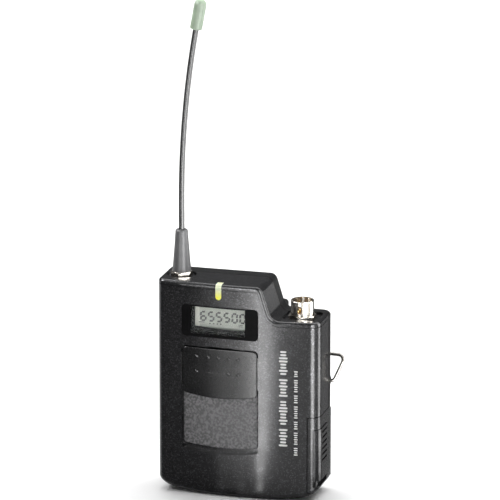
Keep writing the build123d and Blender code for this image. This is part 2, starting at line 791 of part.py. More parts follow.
# ---- boards -----------------------------------------------------------------------
def board_blank(y, holes, tab):
    board = span_box(board_x, y, board_z)
    board += span_box((board_x[0], board_upper[0]), y, (board_z[0], board_upper[1]))
    if tab:
        board += span_box((board_x[0], board_tab[0]), y, (board_z[0], board_tab[1]))
    for x, z in case_screw_places:
        board -= rod_y(x, grown(y, 1), z, boss_radius + 0.2)
    for x, z in holes:
        board -= rod_y(x, grown(y, 1), z, board_screw_radius + 0.1)
    return board


def make_screws(places, head_y, tip_y):
    """Small pan screws along Y: head outside head_y, shank reaching to tip_y."""
    side = 1 if tip_y > head_y else -1
    screws = Part()
    for x, z in places:
        head = rod_y(x, sorted((head_y, head_y - side * 0.8)), z, 1.5)
        shank = rod_y(x, sorted((head_y, tip_y)), z, board_screw_radius - 0.02)
        slot = Pos(x, head_y - side * 0.8, z) * Box(4, 0.7, 0.4)
        screws += head + shank - slot
    return screws


def make_shield_can():
    can_y = (rf_board_y[0] - 3.2, rf_board_y[0])
    can = span_box((-17.0, 4.0), can_y, (48.0, 66.0))
    return can - span_box((-16.7, 3.7), (can_y[0] + 0.3, can_y[1] + 1), (48.3, 65.7))


def make_board_chips():
    front = control_board_y[1]
    chips = span_box((-19.0, -9.0), (front, front + 1.4), (50.0, 60.0))
    chips += span_box((1.0, 8.0), (front, front + 1.2), (52.0, 57.0))
    chips += span_box((-4.0, 2.0), (front, front + 1.0), (69.0, 74.0))
    return chips


def make_crystal():
    back = rf_board_y[0]
    can = span_box((-13.0, -3.0), (back - 1.8, back), (70.0, 74.5))
    return fillet(can.edges().filter_by(Axis.Y), 1.6)


def make_capacitors():
    front = rf_board_y[0]
    group = Part()
    for z in (49.0, 56.0, 63.0):
        group += rod_y(10.5, (front - 4.6, front), z, 2.4)
    return group


def make_board_header():
    """Pin strip that joins the two boards."""
    strip_x = (-12.0, 6.0)
    body = span_box(strip_x, (control_board_y[1], control_board_y[1] + 2.2), (39.2, 41.6))
    socket = span_box(strip_x, (rf_board_y[0] - 3.0, rf_board_y[0]), (39.2, 41.6))
    pin_y = (control_board_y[1] + 2.2, rf_board_y[0] - 3.0)
    header = body + socket
    for step in range(7):
        x = strip_x[0] + 1.5 + step * 2.5
        header += span_box((x - 0.3, x + 0.3), pin_y, (40.1, 40.7))
    return header


# ---- antenna ----------------------------------------------------------------------
seat_z = case_height - antenna_seat_depth
sleeve_z = seat_z + antenna_nut_height


def make_antenna_stud():
    stud = rod_z(antenna_x, 0, (stud_bottom_z, stud_top_z), stud_radius)
    return chamfer(stud.edges().filter_by(GeomType.CIRCLE), 0.4)


def make_antenna_nut():
    return hex_nut(antenna_x, 0, (seat_z, sleeve_z), antenna_nut_flats, stud_radius + slip)


def make_antenna_lock_nut():
    top = case_height - wall - mount_pad
    return hex_nut(antenna_x, 0, (top - 2.0, top), 6.4, stud_radius + slip)


def make_antenna_sleeve():
    """Tapered grip over the stud, with a rounded shoulder where the whip leaves it."""
    top = sleeve_z + sleeve_length
    base = (sleeve_base_radius, sleeve_z)
    crown = (sleeve_top_radius, top)
    outline = Polyline((0, sleeve_z), base, (sleeve_base_radius, sleeve_z + 0.6), crown, (0, top), close=True)
    face = make_face(outline.edges())
    face = fillet(face.vertices().sort_by_distance((*crown, 0))[0], 0.9)
    sleeve = revolve(Plane.XZ * face, Axis.Z)
    sleeve -= rod_z(0, 0, (sleeve_z - 1, stud_top_z + 0.3), stud_radius + slip)
    sleeve -= rod_z(0, 0, (whip_start_z - 0.3, top + 1), whip_radius + slip)
    return Pos(antenna_x, 0, 0) * sleeve


def whip_sweep():
    """Angle through which the whip has turned at its upper end, in degrees."""
    return math.degrees(math.asin((whip_end_z - whip_bend_z) / whip_bend_radius))


def whip_end():
    turned = math.radians(whip_sweep())
    return (antenna_x + whip_bend_radius * (1 - math.cos(turned)), 0, whip_end_z)


def make_antenna_whip():
    """Round whip: a short straight foot, then one long even bend towards +X."""
    foot = rod_z(antenna_x, 0, (whip_start_z, whip_bend_z), whip_radius)
    centre = (antenna_x + whip_bend_radius, 0)
    section = Plane.XY * Pos(antenna_x, 0) * Circle(whip_radius)
    turn_axis = Axis((centre[0], 0, whip_bend_z), (0, 1, 0))
    bend = revolve(Pos(0, 0, whip_bend_z) * section, turn_axis, whip_sweep())
    return foot + bend


def make_antenna_tip():
    """Soft rounded cap pushed over the end of the whip."""
    body = rod_z(0, 0, (-tip_grip, tip_length - tip_grip), tip_radius)
    crown = body.edges().filter_by(GeomType.CIRCLE).sort_by(Axis.Z)
    body = fillet(crown[-1], tip_radius - 0.3)
    body = fillet(body.edges().filter_by(GeomType.CIRCLE).sort_by(Axis.Z)[0], 0.3)
    body -= rod_z(0, 0, (-tip_grip - 1, slip), whip_radius + slip)
    return Pos(*whip_end()) * Rot(0, whip_sweep(), 0) * body


def make_antenna_feed():
    """Bent spring strip from the stud's foot to the radio board."""
    strip_x = (antenna_x - 1.4, board_x[0] + 2.0)
    foot_z = (stud_bottom_z - 0.3, stud_bottom_z)
    arm = span_box(strip_x, (-1.4, rf_board_y[0]), foot_z)
    leg_x = (board_x[0] + 0.2, board_x[0] + 2.0)
    leg = span_box(leg_x, (rf_board_y[0] - 0.3, rf_board_y[0]), (stud_bottom_z - 5, stud_bottom_z))
    return arm + leg


# ---- instrument socket ------------------------------------------------------------
jack_seat_z = shoulder_height - jack_recess_depth
jack_pad_z = shoulder_height - wall - mount_pad
jack_nut_top_z = jack_seat_z + jack_nut_height


def make_jack_barrel():
    """Tube on a threaded shank, with a wider collar above the nut and a keyway in its front."""
    barrel = rod_z(jack_x, 0, (jack_nut_top_z + jack_collar_gap, jack_top_z), jack_radius)
    rim = barrel.edges().filter_by(GeomType.CIRCLE).sort_by(Axis.Z)[-1]
    barrel = fillet(rim, 0.25)
    barrel += rod_z(jack_x, 0, (jack_bottom_z, jack_nut_top_z + 1), jack_shank_radius)
    barrel += rod_z(jack_x, 0, (jack_pad_z - jack_flange_thickness, jack_pad_z), jack_flange_radius)
    barrel -= rod_z(jack_x, 0, (jack_bottom_z - 1, jack_top_z + 1), jack_mouth_radius)
    mid_z = (jack_slot_z[0] + jack_slot_width / 2, jack_slot_z[1] - jack_slot_width / 2)
    half = jack_slot_width / 2
    barrel -= span_box((jack_x - half, jack_x + half), (-jack_radius - 1, -2), mid_z)
    for z in mid_z:
        barrel -= rod_y(jack_x, (-jack_radius - 1, -2), z, half)
    return barrel


def make_jack_nut():
    return hex_nut(jack_x, 0, (jack_seat_z, jack_nut_top_z), jack_nut_flats, jack_shank_radius + slip)


def jack_pin_places():
    for step in range(jack_pin_count):
        angle = math.radians(45 + step * 360 / jack_pin_count)
        yield jack_x + jack_pin_circle * math.cos(angle), jack_pin_circle * math.sin(angle)


def make_jack_insulator():
    plug = rod_z(jack_x, 0, (jack_bottom_z, insulator_top_z), jack_mouth_radius - slip)
    for x, y in jack_pin_places():
        plug -= rod_z(x, y, (jack_bottom_z - 1, insulator_top_z + 1), jack_pin_radius)
    return plug


def make_jack_pins():
    pins = Part()
    for x, y in jack_pin_places():
        pin = rod_z(x, y, jack_pin_z, jack_pin_radius)
        tip = pin.edges().filter_by(GeomType.CIRCLE).sort_by(Axis.Z)[-1]
        pins += fillet(tip, jack_pin_radius * 0.8)
    return pins


# ---- battery bay ------------------------------------------------------------------
def make_tray():
    """Cradle open to the front and to the door, with one round bay per cell."""
    tray = span_box(tray_x, tray_y, tray_z)
    for z in cell_z:
        tray -= rod_x((tray_x[0] + tray_end, far), cell_y, z, cell_radius + cell_play)
    return tray


def make_cell(z, button_right):
    """Round AA cell along X with its button at one end."""
    radius, length = cell_button
    low = cell_left_x if button_right else cell_left_x + length
    body = rod_x((low, low + cell_length), cell_y, z, cell_radius)
    body = fillet(body.edges().filter_by(GeomType.CIRCLE), 0.5)
    tip = (low - length, low + 0.1)
    if button_right:
        tip = (low + cell_length - 0.1, low + cell_length + length)
    return body + rod_x(tip, cell_y, z, radius)


def coil(x, z, turns, direction):
    """Conical contact spring along X, from its wide foot at x towards direction."""
    rings = Part()
    for step in range(turns):
        place = Pos(x + direction * (0.2 + step * 0.38), cell_y, z)
        rings += place * Rot(0, 90, 0) * Torus(2.6 - step * 0.35, 0.2)
    return rings


bay_end_x = tray_x[0] + tray_end


def make_tray_contacts():
    """Two sprung plates on the closed end of the bay, one for each cell."""
    plates = Part()
    for z in cell_z:
        plate_x = (bay_end_x, bay_end_x + contact_thickness)
        plates += span_box(plate_x, (cell_y - 3.5, cell_y + 3.5), (z - 3.5, z + 3.5))
    return plates


def make_tray_spring():
    return coil(bay_end_x + contact_thickness, cell_z[1], 3, 1)


def make_link_plate():
    """Plate on the door that joins the two cells in series, with a raised contact for each."""
    plate = span_box(link_plate_x, (cell_y - 2.6, cell_y + 2.6), (cell_z[0] - 4, cell_z[1] + 4))
    cell_end_x = cell_left_x + cell_length + cell_button[1]
    for z in cell_z:
        plate += rod_x((cell_end_x + contact_gap, link_plate_x[0] + 0.1), cell_y, z, 1.6)
    return plate


# ---- battery door -----------------------------------------------------------------
def latch_zone(grow, z):
    return span_box((latch_x - grow, far), grown(latch_y, grow), z)


def make_battery_door():
    """Corner door with two hinge knuckles, a pocket for the latch and pads for the link plate."""
    door = (outer_block - case_block(door_wall)) & door_opening(door_gap)
    door &= span_box((-far, far), (-far, hinge_y), (-10, above))
    for span in knuckle_spans:
        door += rod_z(hinge_x, hinge_y, span, knuckle_radius)
    lug_z = (knuckle_spans[0][1], knuckle_spans[1][0])
    door -= rod_z(hinge_x, hinge_y, lug_z, knuckle_radius + knuckle_gap)
    pin_hole_z = (knuckle_spans[0][0] + 0.6, knuckle_spans[1][1] - 0.6)
    door -= rod_z(hinge_x, hinge_y, pin_hole_z, hinge_pin_radius + slip)
    pocket_z = (latch_z[0] - latch_travel - latch_gap, latch_z[1] + latch_gap)
    pocket = latch_zone(latch_gap, pocket_z) - case_block(latch_thickness + 0.15)
    door -= pocket
    slot_z = (stem_z[0] - latch_travel - 0.2, stem_z[1] + 0.2)
    door -= span_box((hinge_x - 5, far), grown(stem_y, 0.2), slot_z)
    pad_x = (link_plate_x[1], side_x - door_wall + 0.2)
    for z in (cell_z[0] - 2.5, cell_z[1] + 2.5):
        door += span_box(pad_x, (cell_y - 1.6, cell_y + 1.6), (z - 1, z + 1))
    return door


def make_hinge_pin():
    return rod_z(hinge_x, hinge_y, (knuckle_spans[0][0] + 0.8, knuckle_spans[1][1] - 0.8), hinge_pin_radius)


def make_door_latch():
    """Thumb slide that wraps the door's corner, with a stem through the door."""
    skin = case_block(-latch_proud) - case_block(latch_thickness)
    slide = skin & latch_zone(0, latch_z)
    for step in range(latch_grip_count):
        z = latch_grip_bottom_z + step * latch_grip_pitch
        slide -= span_box((side_x - 0.35, far), latch_grip_y, (z - 0.45, z + 0.45))
    stem_x = (side_x - door_wall - 0.15, side_x - latch_thickness + 0.1)
    return slide + span_box(stem_x, stem_y, stem_z)


def make_latch_hook():
    """Plate inside the door that rides on the latch's stem and reaches behind the front wall."""
    face_x = side_x - door_wall - 0.15
    plate = span_box((face_x - hook_thickness, face_x), (hook_y[1] - 0.3, stem_y[1]), stem_z)
    tooth_x = (hook_tooth_x, face_x - hook_thickness / 2)
    tooth = span_box(tooth_x, hook_y, grown(stem_z, -0.6))
    return plate + tooth


latch_spring_z = (stem_z[0] - 5.5, stem_z[0])


def make_latch_spring():
    """Flat zigzag return spring under the hook plate."""
    x = side_x - door_wall - 0.15 - hook_thickness / 2
    width = (stem_y[0] - 0.6, stem_y[1] - 0.2)
    folds = 6
    pitch = (latch_spring_z[1] - latch_spring_z[0]) / folds
    foot_z = (latch_spring_z[0], latch_spring_z[0] + 0.2)
    spring = span_box((x - 0.12, x + 0.12), width, foot_z)
    for step in range(folds):
        low = latch_spring_z[0] + step * pitch
        side = width[step % 2]
        edge = sorted((side, side + (0.2 if step % 2 == 0 else -0.2)))
        spring += span_box((x - 0.12, x + 0.12), edge, (low, low + pitch))
        spring += span_box((x - 0.12, x + 0.12), width, (low + pitch - 0.2, low + pitch))
    return spring


# ---- belt clip --------------------------------------------------------------------
def make_belt_clip():
    """One bent spring wire: two pivot ends, two side loops and a long U down the back."""
    start_x = side_x - bush_length + 1.0
    bend_x = side_x + 1.6
    right = [
        (start_x, clip_pivot_y, clip_pivot_z),
        (bend_x, clip_pivot_y, clip_pivot_z),
        (clip_side_x, clip_side_y, clip_top_z),
        (clip_tongue_half, clip_back_y, clip_top_z),
        (clip_tongue_half, clip_back_y, clip_tongue_bottom_z),
    ]
    left = [(-x, y, z) for x, y, z in reversed(right)]
    radii = [1.6, 2.6, 4.0, 6.0]
    path = FilletPolyline(*right, *left, radius=[*radii, *reversed(radii)])
    start = Plane(origin=right[0], z_dir=(1, 0, 0))
    return sweep(start * Circle(clip_wire_radius), path=path)


# ---- assembly ---------------------------------------------------------------------
parts["front_shell"] = make_front_shell()
parts["top_cap"] = make_top_cap()
parts["back_shell"] = make_back_shell()
parts["case_screws"] = make_case_screws()
parts["clip_bushes"] = make_clip_bushes()
parts["rear_label"] = make_rear_label()
parts["display_bezel"] = make_display_bezel()
parts["display_window"] = make_display_window()
parts["lcd_glass"] = make_lcd_glass()
parts["lcd_holder"] = make_lcd_holder()
parts["lcd_contact_strips"] = make_lcd_contact_strips()
parts["lcd_reflector"] = make_lcd_reflector()
parts["indicator_light_pipe"] = make_light_pipe()
parts["indicator_led"] = make_indicator_led()
parts["control_cover"] = make_control_cover()
parts["textured_pad"] = make_textured_pad()
parts["control_panel"] = make_control_panel()
for button_name, button_place in button_places.items():
    parts[button_name] = make_button(button_place)
parts["button_switches"] = make_button_switches()
parts["power_switch_body"] = make_switch_body()
parts["power_switch_knob"] = make_switch_knob()
parts["level_trimmer_body"] = make_trimmer_body()
parts["level_trimmer_rotor"] = make_trimmer_rotor()
parts["control_board"] = board_blank(control_board_y, control_post_places, True)
parts["control_board_screws"] = make_screws(control_post_places, control_board_y[1], control_screw_tip_y)
parts["radio_board"] = board_blank(rf_board_y, rf_post_places, False)
parts["radio_board_screws"] = make_screws(rf_post_places, rf_board_y[0], rf_screw_tip_y)
parts["radio_shield_can"] = make_shield_can()
parts["board_chips"] = make_board_chips()
parts["reference_crystal"] = make_crystal()
parts["board_capacitors"] = make_capacitors()
parts["board_header"] = make_board_header()
parts["antenna_stud"] = make_antenna_stud()
parts["antenna_nut"] = make_antenna_nut()
parts["antenna_lock_nut"] = make_antenna_lock_nut()
parts["antenna_sleeve"] = make_antenna_sleeve()
parts["antenna_whip"] = make_antenna_whip()
parts["antenna_tip"] = make_antenna_tip()
parts["antenna_feed_spring"] = make_antenna_feed()
parts["jack_barrel"] = make_jack_barrel()
parts["jack_nut"] = make_jack_nut()
parts["jack_insulator"] = make_jack_insulator()
parts["jack_pins"] = make_jack_pins()
parts["battery_tray"] = make_tray()
parts["battery_cell_lower"] = make_cell(cell_z[0], True)
parts["battery_cell_upper"] = make_cell(cell_z[1], False)
parts["tray_contacts"] = make_tray_contacts()
parts["tray_contact_spring"] = make_tray_spring()
parts["battery_door"] = make_battery_door()
parts["door_link_plate"] = make_link_plate()
parts["door_hinge_pin"] = make_hinge_pin()
parts["door_latch"] = make_door_latch()
parts["latch_hook"] = make_latch_hook()
parts["latch_spring"] = make_latch_spring()
parts["belt_clip"] = make_belt_clip()

os.makedirs("parts", exist_ok=True)
for name, shape in parts.items():
    export_step(shape, f"parts/{name}.step")
    print(name, len(shape.solids()), round(shape.volume, 1))
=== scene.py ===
import json
import math

import bpy
import numpy as np
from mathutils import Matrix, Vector


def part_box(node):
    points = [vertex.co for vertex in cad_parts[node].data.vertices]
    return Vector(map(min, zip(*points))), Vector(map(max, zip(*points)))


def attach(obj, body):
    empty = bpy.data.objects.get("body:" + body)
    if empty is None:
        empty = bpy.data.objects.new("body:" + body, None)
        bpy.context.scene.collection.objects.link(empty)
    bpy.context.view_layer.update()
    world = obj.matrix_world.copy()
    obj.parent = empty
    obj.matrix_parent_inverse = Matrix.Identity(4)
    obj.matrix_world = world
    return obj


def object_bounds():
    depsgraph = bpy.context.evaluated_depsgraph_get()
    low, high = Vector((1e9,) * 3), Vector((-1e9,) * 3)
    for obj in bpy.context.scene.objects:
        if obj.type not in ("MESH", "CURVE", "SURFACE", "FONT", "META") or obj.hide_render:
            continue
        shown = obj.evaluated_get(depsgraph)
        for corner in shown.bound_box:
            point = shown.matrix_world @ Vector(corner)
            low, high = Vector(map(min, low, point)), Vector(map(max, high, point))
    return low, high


# Body-worn guitar transmitter: studio, finishes for every moulded and turned piece, and
# the thin printed pieces (display digits, front print, rear label print, panel print).

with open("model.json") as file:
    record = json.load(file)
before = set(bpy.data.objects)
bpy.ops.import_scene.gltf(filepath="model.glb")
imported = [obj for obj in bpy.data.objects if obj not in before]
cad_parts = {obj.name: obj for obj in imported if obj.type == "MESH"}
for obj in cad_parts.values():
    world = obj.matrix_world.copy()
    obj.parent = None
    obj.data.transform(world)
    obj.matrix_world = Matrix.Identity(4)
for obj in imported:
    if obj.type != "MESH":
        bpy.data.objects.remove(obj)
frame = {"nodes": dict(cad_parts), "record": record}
cad_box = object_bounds()
MM = 0.001

# ---- studio ----------------------------------------------------------------------------
CAMERA_AZIMUTH = 15.5
CAMERA_ELEVATION = 15.7
CAMERA_DISTANCE = 2.0
CAMERA_TARGET = (0.0024, 0.0, 0.0988)
VIEW_HEIGHT = 0.1962

# Where a strip light's floor panels start and end, in metres from its foot. Panels that end
# nearer than FULL_REACH are dimmed in proportion, so steep views see no glare at the base.
STRIP_REACH = (0.008, 0.03, 0.06, 0.13, 0.27, 0.55, 1.1)
FULL_REACH = 0.1
UPRIGHT_HEIGHT = 1.0
PANEL_LIFT = 0.001
FLAG_LIFT = 0.0005
LAMP_DISTANCE = 1.2


def direction(azimuth, elevation):
    """Unit vector towards a compass azimuth (0 is the front, -Y) and elevation, in degrees."""
    a = math.radians(azimuth)
    e = math.radians(elevation)
    return Vector((math.sin(a) * math.cos(e), -math.cos(a) * math.cos(e), math.sin(e)))


def add_camera():
    """Long lens that frames the whole transmitter with its antenna."""
    data = bpy.data.cameras.new("camera")
    data.lens = data.sensor_width / VIEW_HEIGHT * CAMERA_DISTANCE
    data.clip_start = 0.01
    data.clip_end = 20.0
    camera = bpy.data.objects.new("camera", data)
    bpy.context.collection.objects.link(camera)
    towards = direction(CAMERA_AZIMUTH, CAMERA_ELEVATION)
    camera.location = Vector(CAMERA_TARGET) + towards * CAMERA_DISTANCE
    camera.rotation_euler = towards.to_track_quat("Z", "Y").to_euler()
    bpy.context.scene.camera = camera


def add_panel(name, place, facing, size, radiance):
    """Soft rectangular light of even brightness, at a place and facing a direction."""
    data = bpy.data.lights.new(name, "AREA")
    data.shape = "RECTANGLE"
    data.size, data.size_y = size
    data.energy = radiance * math.pi * size[0] * size[1]
    light = bpy.data.objects.new(name, data)
    light.location = place
    light.rotation_euler = Vector(facing).to_track_quat("-Z", "Y").to_euler()
    light.visible_camera = False
    bpy.context.collection.objects.link(light)
    return light


def add_lamp(name, azimuth, elevation, side, radiance):
    """Square soft light that faces the transmitter from an azimuth and elevation."""
    towards = direction(azimuth, elevation)
    return add_panel(name, tuple(towards * LAMP_DISTANCE), -towards, (side, side), radiance)


def add_strip(name, foot, azimuth, spread, low, high, start=0.0, reach=STRIP_REACH):
    """Tall strip light of an even angular width: floor panels that widen outwards, then an
    upright one at their end.

    It only shows in reflections, so that the matt prints and the display keep their own tone.
    foot is the point of the floor that the strip runs out from, and start its width there. low
    is the brightness of the panels that lie along the azimuth, which upright faces mirror down
    to the floor line, and high is the brightness of the upright one.
    """
    foot = Vector((*foot, 0.0))
    out = direction(azimuth, 0)
    wide = 2 * math.tan(math.radians(spread / 2))
    for step, (near, far) in enumerate(zip(reach, reach[1:])):
        middle = (near + far) / 2
        place = foot + out * middle + Vector((0, 0, PANEL_LIFT))
        size = (start + wide * middle, far - near)
        radiance = low * min(1.0, far / FULL_REACH)
        lying = add_panel(f"{name}_low_{step}", place, (0, 0, 1), size, radiance)
        lying.rotation_euler = (math.pi, 0, math.radians(azimuth))
        lying.visible_diffuse = False
    end = foot + out * reach[-1]
    size = (start + wide * reach[-1], UPRIGHT_HEIGHT)
    upright = add_panel(name + "_high", (end.x, end.y, UPRIGHT_HEIGHT / 2), -out, size, high)
    upright.visible_diffuse = False


def add_flag(name, corners, tone):
    """Dark card that lies on the floor and is only seen in reflections, as a studio flag is.

    corners are X and Y in metres, in order round the card, and tone is its grey.
    """
    mesh = bpy.data.meshes.new(name)
    mesh.from_pydata([(x, y, FLAG_LIFT) for x, y in corners], [], [(0, 1, 2, 3)])
    card = bpy.data.materials.new(name + "_card")
    card.use_nodes = True
    shader = card.node_tree.nodes["Principled BSDF"]
    shader.inputs["Base Color"].default_value = (tone, tone, tone, 1.0)
    shader.inputs["Specular IOR Level"].default_value = 0.0
    mesh.materials.append(card)
    flag = bpy.data.objects.new(name, mesh)
    for ray in ("camera", "diffuse", "transmission", "volume_scatter", "shadow"):
        setattr(flag, "visible_" + ray, False)
    bpy.context.collection.objects.link(flag)


add_camera()
# The highlight down the front and the softer light to its left.
add_strip("front_strip", (0.0095, -0.012), -9.2, 3.2, 32.0, 36.0, 0.001)
add_strip("soft_strip", (-0.002, -0.012), -17.0, 8.0, 2.4, 14.0, 0.009)
# The two lines down the rounded corner beside the socket, and the whip's bright flank.
add_strip("corner_strip", (0.031, -0.009), 41.0, 26.0, 17.0, 20.0)
add_strip("side_strip", (0.033, -0.004), 113.0, 26.0, 9.0, 12.0)
add_strip("whip_glow", (-0.026, 0.003), 68.0, 70.0, 1.6, 1.6, 0.0, (0.36, 0.9))
# Dark cards that keep the left of the front and the right side from mirroring the floor.
add_flag("left_flag", ((-0.6, -0.0125), (-0.6, -1.3), (-0.31, -1.3), (0.0, -0.0125)), 0.08)
add_flag("right_flag", ((0.036, -0.02), (0.5, -0.02), (0.6, 0.9), (0.036, 0.9)), 0.16)
add_lamp("left_key", -55, 48, 0.35, 7.0)
# A small bright lamp, seen only in reflections, that picks out the cover's bumps.
add_lamp("left_spark", -78, 40, 0.4, 45.0).visible_diffuse = False
add_panel("overhead", (0.0, 0.7, 1.4), (0, 0, -1), (2.6, 1.6), 4.2)
world = bpy.data.worlds.new("studio")
world.use_nodes = True
world.node_tree.nodes["Background"].inputs["Color"].default_value = (1.0, 1.0, 1.0, 1.0)
world.node_tree.nodes["Background"].inputs["Strength"].default_value = 0.12
bpy.context.scene.world = world
bpy.context.scene.view_settings.view_transform = "Standard"


# ---- finishes --------------------------------------------------------------------------
class Finish:
    """One node material; its patterns are placed by Object coordinates, in metres."""

    def __init__(self, name, **levels):
        self.material = bpy.data.materials.new(name)
        self.material.use_nodes = True
        self.tree = self.material.node_tree
        self.shader = self.tree.nodes["Principled BSDF"]
        self.place = self.add("ShaderNodeTexCoord").outputs["Object"]
        for socket, level in levels.items():
            self.set(socket.replace("_", " "), level)

    def add(self, kind, **settings):
        node = self.tree.nodes.new(kind)
        for key, value in settings.items():
            setattr(node, key, value)
        return node

    def feed(self, socket, source):
        """Joins an output to a socket, or sets a plain value on it."""
        if isinstance(source, bpy.types.NodeSocket):
            self.tree.links.new(source, socket)
        elif isinstance(source, (tuple, list)) and len(source) == 3:
            socket.default_value = (*source, 1.0) if socket.type == "RGBA" else source
        else:
            socket.default_value = source

    def set(self, name, source):
        self.feed(self.shader.inputs[name], source)

    def stretched(self, stretch, turn=(0, 0, 0)):
        """Object coordinates stretched and turned, for grain that runs one way."""
        mapping = self.add("ShaderNodeMapping")
        self.feed(mapping.inputs["Vector"], self.place)
        mapping.inputs["Scale"].default_value = stretch
        mapping.inputs["Rotation"].default_value = turn
        return mapping.outputs["Vector"]

    def noise(self, size, detail=2.0, place=None):
        """Noise whose lumps are about size metres across."""
        node = self.add("ShaderNodeTexNoise")
        self.feed(node.inputs["Vector"], place or self.place)
        node.inputs["Scale"].default_value = 1.0 / size
        node.inputs["Detail"].default_value = detail
        return node.outputs["Fac"]

    def cells(self, size):
        """Random grey level for each little cell of the given size."""
        node = self.add("ShaderNodeTexVoronoi")
        self.feed(node.inputs["Vector"], self.place)
        node.inputs["Scale"].default_value = 1.0 / size
        split = self.add("ShaderNodeSeparateColor")
        self.feed(split.inputs["Color"], node.outputs["Color"])
        return split.outputs["Red"]

    def axis(self, name):
        """One Object coordinate, in metres."""
        split = self.add("ShaderNodeSeparateXYZ")
        self.feed(split.inputs["Vector"], self.place)
        return split.outputs[name]

    def span(self, source, low, high, to_low=0.0, to_high=1.0):
        """Source mapped from low..high to to_low..to_high and held there."""
        node = self.add("ShaderNodeMapRange")
        for socket, value in zip(node.inputs, (source, low, high, to_low, to_high)):
            self.feed(socket, value)
        return node.outputs["Result"]

    def sum(self, first, second, operation="ADD"):
        node = self.add("ShaderNodeMath", operation=operation)
        self.feed(node.inputs[0], first)
        self.feed(node.inputs[1], second)
        return node.outputs["Value"]

    def bump(self, *layers):
        """Small relief: each layer is a height, its depth in metres and its strength."""
        normal = None
        for height, depth, strength in layers:
            node = self.add("ShaderNodeBump")
            self.feed(node.inputs["Height"], height)
            node.inputs["Distance"].default_value = depth
            node.inputs["Strength"].default_value = strength
            if normal is not None:
                self.feed(node.inputs["Normal"], normal)
            normal = node.outputs["Normal"]
        self.set("Normal", normal)


def colour_mix(finish, factor, first, second):
    """Mix node for colours, whose colour sockets share their names with the number sockets."""
    node = finish.add("ShaderNodeMix", data_type="RGBA")
    finish.feed(node.inputs[0], factor)
    finish.feed(node.inputs[6], first)
    finish.feed(node.inputs[7], second)
    return node.outputs[2]


def speckled_plastic(name, dark, light, flake, grain=0.00045, rough=(0.17, 0.24),
                     relief=0.000012, flakes=(0.80, 0.96)):
    """Moulded plastic with a fine metallic fleck, as on painted cases."""
    f = Finish(name, Specular_IOR_Level=0.32)
    grains = f.noise(grain, 3.0)
    cloud = f.noise(0.009, 2.0)
    fleck = f.span(f.cells(0.00038), flakes[0], flakes[1])
    body = colour_mix(f, f.span(grains, 0.32, 0.68), dark, light)
    body = colour_mix(f, f.span(cloud, 0.3, 0.7, 0.0, 0.22), body, dark)
    f.set("Base Color", colour_mix(f, fleck, body, flake))
    f.set("Metallic", f.span(fleck, 0.0, 1.0, 0.0, 0.55))
    even = f.span(grains, 0.3, 0.7, rough[0], rough[1])
    f.set("Roughness", f.sum(even, f.span(cloud, 0.3, 0.7, -0.02, 0.03)))
    f.bump((grains, relief, 0.5))
    return f.material


def plain_plastic(name, dark, light, rough=(0.35, 0.45), specular=0.5):
    """Moulded plastic with a slight spark-eroded grain and soft clouding."""
    f = Finish(name, Specular_IOR_Level=specular)
    grains = f.noise(0.0004, 2.5)
    cloud = f.noise(0.006, 2.0)
    f.set("Base Color", colour_mix(f, f.span(cloud, 0.3, 0.7), dark, light))
    f.set("Roughness", f.span(grains, 0.3, 0.7, rough[0], rough[1]))
    f.bump((grains, 0.000008, 0.5))
    return f.material


def grained_pad_painted_shade():
    """Coarse leathery grain: rounded lumps about 1 mm apart; painted highlight on the crowns."""
    f = Finish("textured_pad_grain_painted_shade")
    lumps = f.noise(0.00095, 2.0)
    fine = f.noise(0.0005, 2.0)
    # Painted highlight on the lumps' crowns and painted shade in their hollows.
    tone = colour_mix(f, f.span(lumps, 0.42, 0.60), (0.010, 0.010, 0.011), (0.105, 0.101, 0.108))
    mottle = f.span(fine, 0.35, 0.65, 0.0, 0.3)
    f.set("Base Color", colour_mix(f, mottle, tone, (0.028, 0.028, 0.030)))
    f.set("Roughness", f.span(fine, 0.3, 0.7, 0.5, 0.68))
    f.bump((lumps, 0.00010, 0.55), (fine, 0.00002, 0.4))
    return f.material


def turned_metal(name, tint, rough, stretch):
    """Plated metal with faint tool marks and slightly clouded plating."""
    f = Finish(name, Metallic=1.0)
    marks = f.noise(0.0004, 2.0, f.stretched(stretch))
    cloud = f.noise(0.003, 2.0)
    darker = tuple(0.72 * c for c in tint)
    f.set("Base Color", colour_mix(f, f.span(cloud, 0.3, 0.72), tint, darker))
    even = f.span(marks, 0.3, 0.7, rough[0], rough[1])
    f.set("Roughness", f.sum(even, f.span(cloud, 0.3, 0.7, 0.0, 0.06)))
    f.bump((marks, 0.000003, 0.4))
    return f.material


def smooth_gloss(name, dark, light, rough=(0.05, 0.12), coat=0.0, specular=0.5):
    """Polished black plastic with faint handling haze."""
    f = Finish(name, Coat_Weight=coat, Coat_Roughness=0.04, Specular_IOR_Level=specular)
    haze = f.noise(0.004, 3.0)
    f.set("Base Color", colour_mix(f, f.span(haze, 0.3, 0.7), dark, light))
    f.set("Roughness", f.span(haze, 0.35, 0.7, rough[0], rough[1]))
    f.bump((f.noise(0.006, 1.0), 0.00002, 0.15))
    return f.material


def clear_pane():
    """Clear acrylic window: mostly see-through, with its own polished reflection."""
    f = Finish("display_pane_acrylic", Alpha=0.05, Specular_IOR_Level=0.3)
    haze = f.noise(0.005, 3.0)
    tint = colour_mix(f, f.span(haze, 0.3, 0.7), (0.60, 0.64, 0.62), (0.72, 0.75, 0.73))
    f.set("Base Color", tint)
    f.set("Roughness", f.span(haze, 0.35, 0.7, 0.03, 0.08))
    f.material.surface_render_method = "BLENDED"
    return f.material


